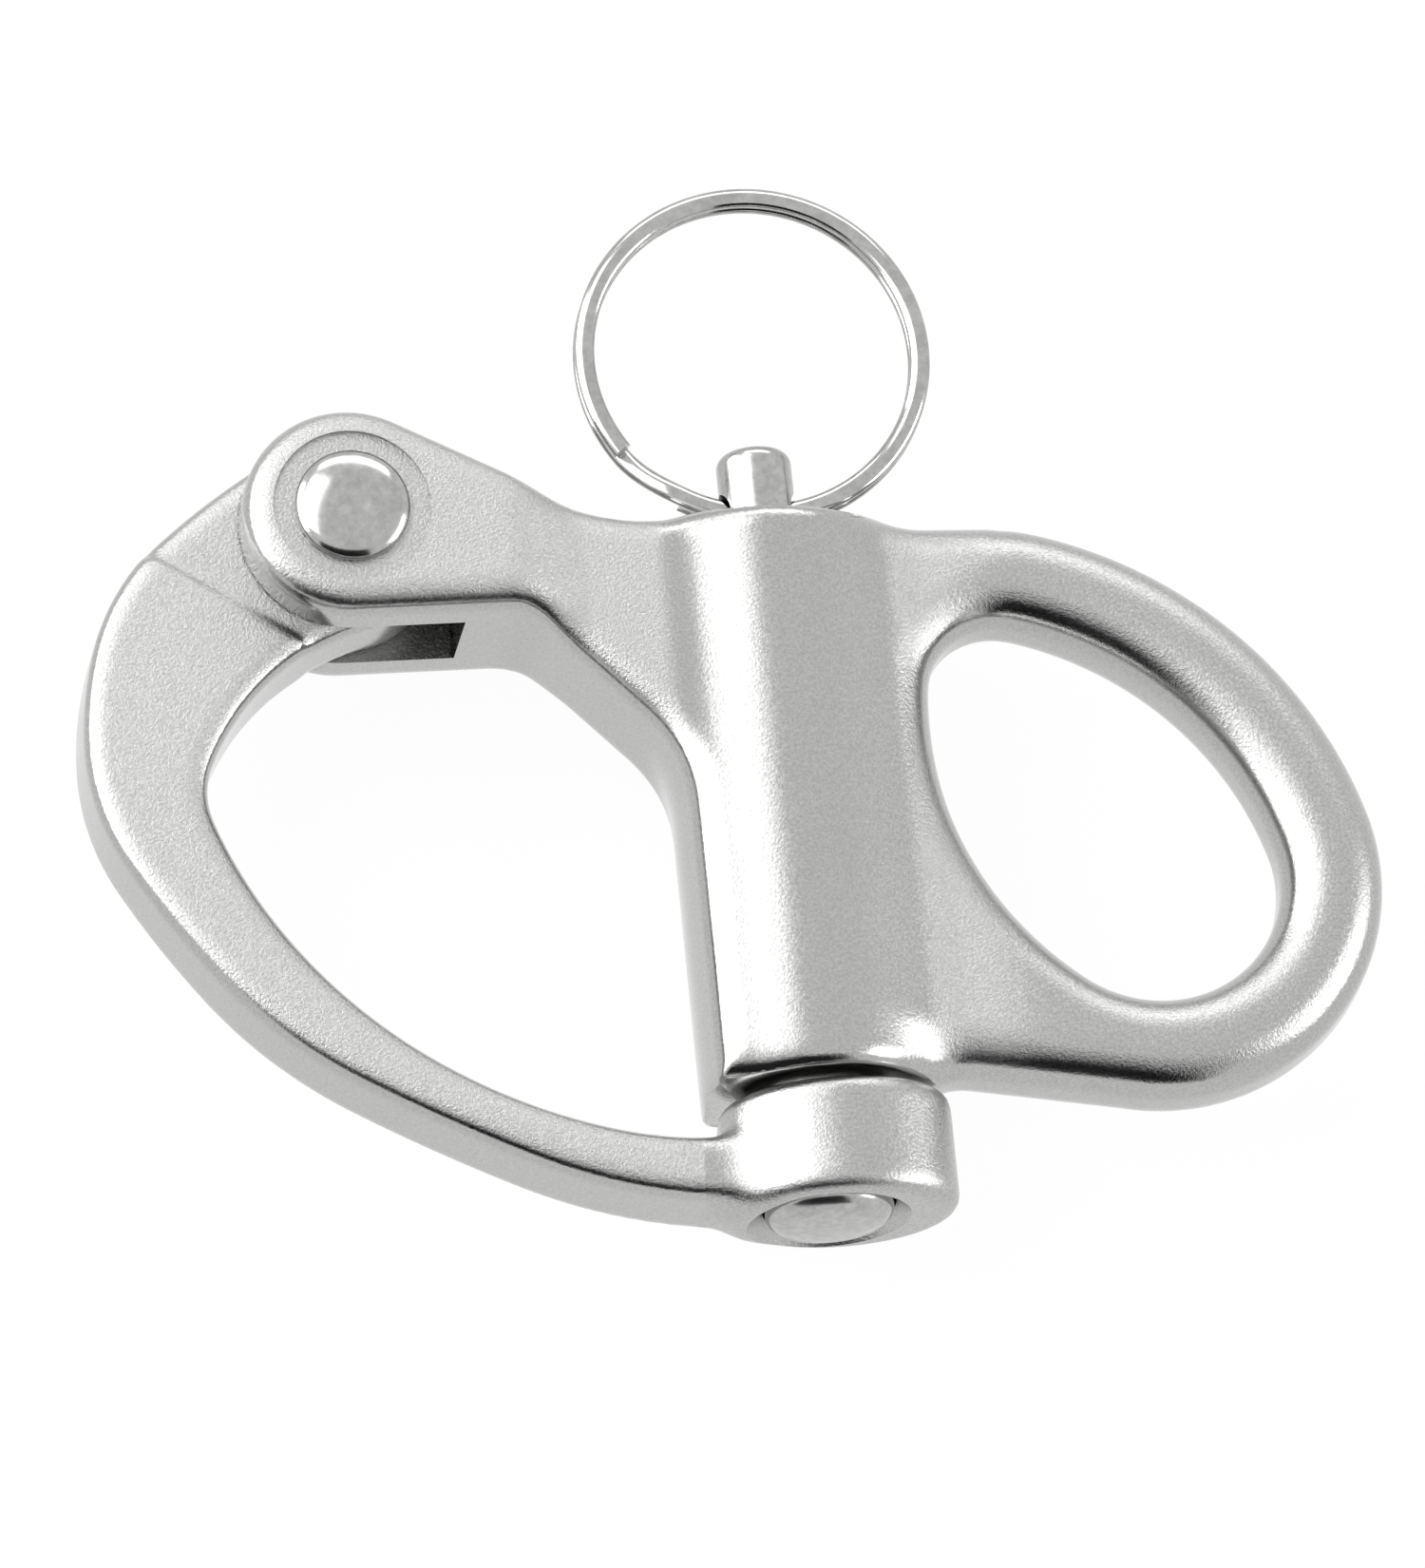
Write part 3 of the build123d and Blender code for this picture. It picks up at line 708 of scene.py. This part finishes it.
class SHACKLE_OT_gate(Operator):
    """Make the gate: tongue, bow arm and oval lock eye"""
    bl_idname = "shackle.gate"
    bl_label = "Gate"

    def execute(self, context):
        sizes, finish = context.scene.shackle_gate, context.scene.shackle_finish
        half, tongue, shoulder = sizes.arm_half / MM, sizes.tongue / MM / 2, sizes.shoulder / MM
        turn = sizes.shoulder_angle
        rim = gate_outline()
        a, b = sizes.eye_width / MM / 2, sizes.eye_thickness / MM / 2
        middle, reach = (EYE_LOW + EYE_HIGH) / 2, (EYE_HIGH - EYE_LOW) / 2
        eye_offset, step, arm_edge, eye_edge, eye_blend = 0.75, 0.25, 1.05, 0.9, 1.5

        def distance(x, y, z):
            flat_x, flat_y = np.broadcast_arrays(x, y)
            beyond = (flat_x - PIVOT[0]) * math.cos(turn) + (flat_y - PIVOT[1]) * math.sin(turn)
            thick = tongue + (half - tongue) * ramp(-beyond, shoulder - step, shoulder + step)
            arm = rounded(outline_distance(rim, flat_x, flat_y), np.abs(z) - thick, arm_edge)
            near = np.hypot((x - eye_offset) / a, z / b)
            slope = np.hypot((x - eye_offset) / a ** 2, z / b ** 2) + 1e-6
            oval = near * (near - 1) / slope
            eye = rounded(oval, np.abs(y - middle) - reach, eye_edge)
            return smooth_join(arm, eye, eye_blend)

        low = ((GATE_LOW - ORIGIN) / MM)[:]
        high = ((GATE_HIGH - ORIGIN) / MM)[:]
        piece = casting_mesh("gate_arm", low, high, distance, context.scene.shackle_body.grain / MM)
        hole, chamfer = sizes.hole_radius / MM, 0.75
        pivot = ORIGIN + Vector((*PIVOT, 0)) * MM
        cutters = [
            lathe("cutter", [(0, EYE_LOW - 2), (hole + chamfer + 2, EYE_LOW - 2),
                             (hole, EYE_LOW + chamfer), (hole, EYE_HIGH - chamfer),
                             (hole + chamfer + 1, EYE_HIGH + 1), (0, EYE_HIGH + 1)], ORIGIN, "Y"),
            rod_cutter(2.05, -8, 8, pivot, "Z"),
        ]
        cut_away(piece, cutters)
        smooth_shaded(piece)
        points, normals = vertex_arrays(piece.data)
        flat = ramp(np.abs(normals[:, 2]), 0.6, 0.92)
        on_eye = ramp(points[:, 0], -9, -5)
        mark_polish(piece, np.where(on_eye > 0.5, 0.55, 1 - flat))
        give(piece, metal("Cast steel, gate", finish.cast_colour, finish.satin, finish.polish,
                          CAST_GRAIN, CAST_GRAIN_HEIGHT, True))
        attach(piece, "gate_body")
        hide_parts("gate")
        return {"FINISHED"}


class SHACKLE_OT_rivet(Operator):
    """Make the hinge rivet: shank and two domed heads with their dimples"""
    bl_idname = "shackle.rivet"
    bl_label = "Hinge Rivet"

    def execute(self, context):
        sizes, finish = context.scene.shackle_pins, context.scene.shackle_finish
        head = sizes.rivet_head / MM / 2
        shank, seat, rim, edge, dent = 2.0, 5.75, 0.25, 0.12, 0.16
        rise = (RIVET_HIGH.z - ORIGIN.z) / MM - seat
        dome = [(head * math.cos(t), seat + rim + (rise - rim) * math.sin(t))
                for t in np.linspace(0, math.radians(68), 12)]
        crown, crest = dome[-1]
        dimple = [(crown * s, crest - dent * (1 - s * s) ** 1.5 + 0.05 * (1 - s))
                  for s in np.linspace(0.9, 0, 10)]
        half = [(shank, 0), (shank, seat), (head - edge, seat), (head, seat + edge)] + dome[1:] + dimple
        profile = [(r, -h) for r, h in half[:0:-1]] + half
        pivot = ORIGIN + Vector((*PIVOT, 0)) * MM
        piece = lathe("hinge_rivet_polished", profile, pivot, "Z", 128)
        smooth_shaded(piece, 50)
        give(piece, metal("Polished steel, rivet", finish.wire_colour, 0.2, 0.15, 1500, 0.00002, False))
        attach(piece, "shackle")
        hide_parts("hinge_rivet")
        return {"FINISHED"}


class SHACKLE_OT_plunger(Operator):
    """Make the plunger: tip, shoulder, stem and cross hole"""
    bl_idname = "shackle.plunger"
    bl_label = "Plunger"

    def execute(self, context):
        sizes, finish = context.scene.shackle_pins, context.scene.shackle_finish
        low = (PLUNGER_LOW.y - ORIGIN.y) / MM
        top = (PLUNGER_HIGH.y - ORIGIN.y) / MM
        tip, stem, chamfer, edge = 3.5, 2.05, sizes.tip_chamfer / MM, 0.8
        shoulder, shoulder_edge = 13.5, 0.2
        nose = [(0, low), (1.2, low + 0.02), (2.2, low + 0.08), (tip - chamfer, low + 0.2),
                (tip - 0.12, low + 0.62), (tip, low + 0.85)]
        shaft = [(tip, shoulder - shoulder_edge), (tip - shoulder_edge, shoulder), (stem, shoulder),
                 (stem, 20), (stem, 28), (stem, top - edge)]
        crown = [(stem - edge + edge * math.cos(t), top - edge + edge * math.sin(t))
                 for t in np.linspace(0, math.pi / 2, 9)[1:]]
        piece = lathe("plunger_pin", nose + shaft + crown + [(0, top)], ORIGIN, "Y", 128)
        hole = ORIGIN + Vector((0, RING_HOLE, 0)) * MM
        cut_away(piece, [rod_cutter(sizes.cross_hole / MM / 2, -6, 6, hole, "X")])
        smooth_shaded(piece, 50)
        give(piece, metal("Polished steel, plunger", finish.wire_colour, 0.24, 0.2, 1800, 0.00003, False))
        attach(piece, "plunger_body")
        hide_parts("plunger")
        return {"FINISHED"}


class SHACKLE_OT_spring(Operator):
    """Make the plunger's compression spring"""
    bl_idname = "shackle.spring"
    bl_label = "Plunger Spring"

    def execute(self, context):
        sizes, finish = context.scene.shackle_pins, context.scene.shackle_finish
        wire = sizes.spring_wire
        material = metal("Drawn wire, spring", finish.wire_colour, 0.3, 0.25, 1500, 0.00003, False)
        outside = (SPRING_HIGH.x - SPRING_LOW.x) / 2
        piece = swept_wire("spring_coil", {
            "Path Radius": outside - wire / 2, "Sweep": 2 * math.pi * sizes.spring_turns,
            "Rise Low": 0.0, "Rise High": SPRING_HIGH.y - SPRING_LOW.y - wire * 1.02, "Wire Width": wire,
            "Wire Height": wire, "Steps": 48 * sizes.spring_turns, "Rim Steps": 12}, material)
        move_points(piece, (ORIGIN.x, SPRING_LOW.y + wire * 0.51, ORIGIN.z), "Y")
        smooth_shaded(piece, 50)
        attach(piece, "shackle")
        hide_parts("plunger_spring")
        return {"FINISHED"}


class SHACKLE_OT_ring(Operator):
    """Make the split ring: two turns of wire with the joggle between them"""
    bl_idname = "shackle.ring"
    bl_label = "Split Ring"

    def execute(self, context):
        sizes, finish = context.scene.shackle_pins, context.scene.shackle_finish
        width = sizes.ring_wire
        height = (RING_HIGH.z - RING_LOW.z - sizes.ring_gap) / 2 * 0.99
        lift = (height + sizes.ring_gap) / 2
        material = metal("Polished wire, ring", finish.wire_colour, 0.16, 0.12, 1500, 0.00001, False)
        piece = swept_wire("pull_ring", {
            "Path Radius": (RING_HIGH.x - RING_LOW.x) / 2 - width / 2, "Start Angle": math.radians(240),
            "Sweep": math.radians(694), "Rise Low": -lift, "Rise High": lift, "Rise From": 334 / 694,
            "Rise To": 360 / 694, "Wire Width": width, "Wire Height": height, "Steps": 700,
            "Rim Steps": 20}, material)
        centre = ORIGIN + Vector((*RING_CENTRE, 0)) * MM
        move_points(piece, centre, "Z")
        smooth_shaded(piece, 50)
        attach(piece, "ring_body")
        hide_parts("split_ring")
        return {"FINISHED"}


def stage_plane(name, centre, across, up, colour, shows):
    """A flat card or floor, from its centre and its two half extents."""
    centre, across, up = Vector(centre), Vector(across), Vector(up)
    mesh = bpy.data.meshes.new(name)
    mesh.from_pydata([centre - across - up, centre + across - up, centre + across + up, centre - across + up],
                     [], [(0, 1, 2, 3)])
    card = bpy.data.objects.new(name, mesh)
    bpy.context.scene.collection.objects.link(card)
    material = bpy.data.materials.new(name)
    material.use_nodes = True
    shader = material.node_tree.nodes["Principled BSDF"]
    shader.inputs["Base Color"].default_value = (*colour, 1)
    shader.inputs["Roughness"].default_value = 0.9
    shader.inputs["Specular IOR Level"].default_value = 0.0
    mesh.materials.append(material)
    card.visible_camera = shows
    return card


def white_floor():
    """The pale floor, white to the camera and in reflections, with a soft shadow under the object."""
    floor = stage_plane("studio_floor", (0, 0, -0.0002), (3, 0, 0), (0, 3, 0), (0.86, 0.86, 0.86), True)
    nodes, links = floor.data.materials[0].node_tree.nodes, floor.data.materials[0].node_tree.links
    path = nodes.new("ShaderNodeLightPath")
    seen = nodes.new("ShaderNodeMath")
    seen.operation = "MAXIMUM"
    links.new(path.outputs["Is Camera Ray"], seen.inputs[0])
    links.new(path.outputs["Is Glossy Ray"], seen.inputs[1])
    through = nodes.new("ShaderNodeMath")
    through.operation = "MAXIMUM"
    links.new(seen.outputs[0], through.inputs[0])
    links.new(path.outputs["Is Transmission Ray"], through.inputs[1])
    share = nodes.new("ShaderNodeMath")
    share.operation = "MULTIPLY"
    share.inputs[1].default_value = 0.94
    links.new(through.outputs[0], share.inputs[0])
    glow = nodes.new("ShaderNodeEmission")
    glow.inputs["Color"].default_value = (1, 1, 1, 1)
    glow.inputs["Strength"].default_value = 1.02
    mix = nodes.new("ShaderNodeMixShader")
    links.new(share.outputs[0], mix.inputs["Fac"])
    links.new(nodes["Principled BSDF"].outputs["BSDF"], mix.inputs[1])
    links.new(glow.outputs["Emission"], mix.inputs[2])
    links.new(mix.outputs["Shader"], nodes["Material Output"].inputs["Surface"])


def softbox(name, place, target, size, power):
    """A soft rectangular lamp that faces the target."""
    light = bpy.data.lights.new(name, "AREA")
    light.shape = "RECTANGLE"
    light.size, light.size_y = size
    light.energy = power
    lamp = bpy.data.objects.new(name, light)
    bpy.context.scene.collection.objects.link(lamp)
    lamp.location = place
    way = Vector(target) - Vector(place)
    lamp.rotation_euler = way.to_track_quat("-Z", "Y").to_euler()
    return lamp


class SHACKLE_OT_stage(Operator):
    """Set the camera, the pale floor, the dark card and the soft lamps"""
    bl_idname = "shackle.stage"
    bl_label = "Studio Stage"

    def execute(self, context):
        scene = context.scene
        right = Vector((0.98770, -0.09522, 0.12398))
        up = Vector((0.04709, 0.93746, 0.34489))
        back = right.cross(up).normalized()
        middle = ORIGIN + Vector((0, -5.8, 0)) * MM + right * (-6.24 * MM) + up * (22.35 * MM)
        far = 1.5
        lens = bpy.data.cameras.new("camera")
        lens.sensor_fit = "HORIZONTAL"
        lens.sensor_width = 36
        lens.lens = 36 * far / 0.07673
        lens.clip_start, lens.clip_end = 0.05, 20
        camera = bpy.data.objects.new("camera", lens)
        scene.collection.objects.link(camera)
        place = middle + back * far
        camera.matrix_world = Matrix(((right.x, up.x, back.x, place.x), (right.y, up.y, back.y, place.y),
                                      (right.z, up.z, back.z, place.z), (0, 0, 0, 1)))
        scene.camera = camera
        scene.view_settings.view_transform = "Standard"

        white_floor()
        dark = (0.012, 0.012, 0.012)
        stage_plane("dark_card_front", (-0.13, -0.30, 0.17), (0.26, 0, 0), (0, 0.03, 0.155), dark, False)
        softbox("softbox_left_low", (-0.66, 0.20, 0.19), (0, 0, 0), (0.80, 0.36), 5.6)
        softbox("softbox_left_high", (-0.41, 0.22, 0.54), (0, 0, 0), (0.80, 0.36), 2.5)
        softbox("softbox_right", (0.64, -0.16, 0.24), (0, 0, 0), (0.44, 0.24), 2.3)
        softbox("softbox_back", (0.10, 0.60, 0.30), (0, 0, 0), (0.70, 0.20), 1.2)

        world = bpy.data.worlds.new("studio")
        scene.world = world
        world.use_nodes = True
        nodes, links = world.node_tree.nodes, world.node_tree.links
        path = nodes.new("ShaderNodeLightPath")
        first = nodes.new("ShaderNodeMath")
        first.operation = "MAXIMUM"
        links.new(path.outputs["Is Camera Ray"], first.inputs[0])
        links.new(path.outputs["Is Glossy Ray"], first.inputs[1])
        through = nodes.new("ShaderNodeMath")
        through.operation = "MAXIMUM"
        links.new(first.outputs[0], through.inputs[0])
        links.new(path.outputs["Is Transmission Ray"], through.inputs[1])
        level = nodes.new("ShaderNodeMapRange")
        level.inputs["To Min"].default_value = 0.55
        level.inputs["To Max"].default_value = 1.0
        links.new(through.outputs[0], level.inputs["Value"])
        nodes["Background"].inputs["Color"].default_value = (1, 1, 1, 1)
        links.new(level.outputs["Result"], nodes["Background"].inputs["Strength"])
        return {"FINISHED"}


class SHACKLE_PT_panel(Panel):
    """Lists the shackle's pieces and its stage"""
    bl_idname = "SHACKLE_PT_panel"
    bl_label = "Snap Shackle"
    bl_space_type = "VIEW_3D"
    bl_region_type = "UI"
    bl_category = "Shackle"

    def draw(self, context):
        for operator in OPERATORS:
            self.layout.operator(operator.bl_idname)
        for group in GROUPS:
            values = getattr(context.scene, group)
            box = self.layout.box()
            for label in values.__annotations__:
                box.prop(values, label)


GROUPS = {"shackle_body": ShackleBodySizes, "shackle_gate": ShackleGateSizes, "shackle_pins": ShacklePinSizes,
          "shackle_finish": ShackleFinish}
OPERATORS = (SHACKLE_OT_stage, SHACKLE_OT_body, SHACKLE_OT_gate, SHACKLE_OT_rivet, SHACKLE_OT_plunger,
             SHACKLE_OT_spring, SHACKLE_OT_ring)


def register():
    """Adds the classes and the scene's size groups."""
    for kind in (*GROUPS.values(), *OPERATORS, SHACKLE_PT_panel):
        bpy.utils.register_class(kind)
    for name, kind in GROUPS.items():
        setattr(bpy.types.Scene, name, PointerProperty(type=kind))


def unregister():
    """Removes what register added."""
    for name in GROUPS:
        delattr(bpy.types.Scene, name)
    for kind in (SHACKLE_PT_panel, *OPERATORS[::-1], *list(GROUPS.values())[::-1]):
        bpy.utils.unregister_class(kind)


def main():
    """Builds every piece and the stage."""
    register()
    for operator in OPERATORS:
        group, name = operator.bl_idname.split(".")
        getattr(getattr(bpy.ops, group), name)()


if __name__ == "__main__":
    main()
